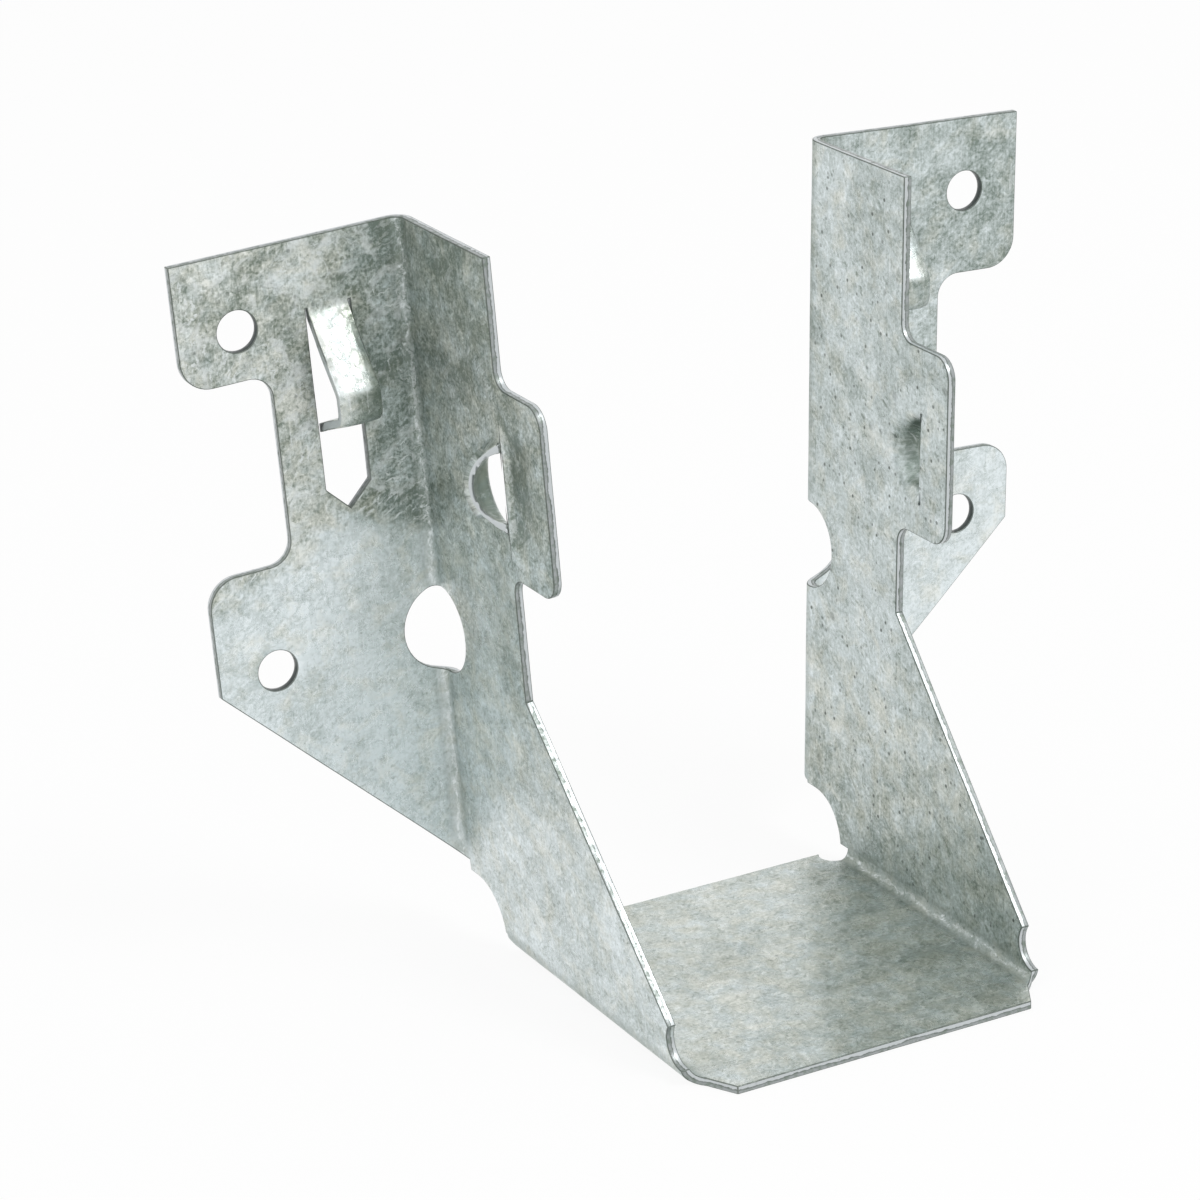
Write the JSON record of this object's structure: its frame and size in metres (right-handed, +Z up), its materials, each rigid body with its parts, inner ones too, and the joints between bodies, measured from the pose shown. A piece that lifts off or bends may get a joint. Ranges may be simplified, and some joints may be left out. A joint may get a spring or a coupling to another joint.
{
  "type": "joist hanger",
  "caption": "Face-mount joist hanger folded from one galvanised sheet: a seat between two walls, each with a notched nailing flange, a lanced prong and a half-dome nail guide.",
  "frame": {"origin": "centre of the seat's underside, on which the hanger stands", "axes": "+X across the hanger to its right wall as seen by the joist, +Y towards the header that the flanges are nailed to, +Z up the walls"},
  "size_m": [0.0978, 0.0526, 0.0779],
  "materials": {
    "zinc_sheet": "hot-dip galvanised, matt with a faint spangle, bright at the sheared edges"
  },
  "bodies": {
    "root": {"hanger": "zinc_sheet"}
  },
  "joints": []
}
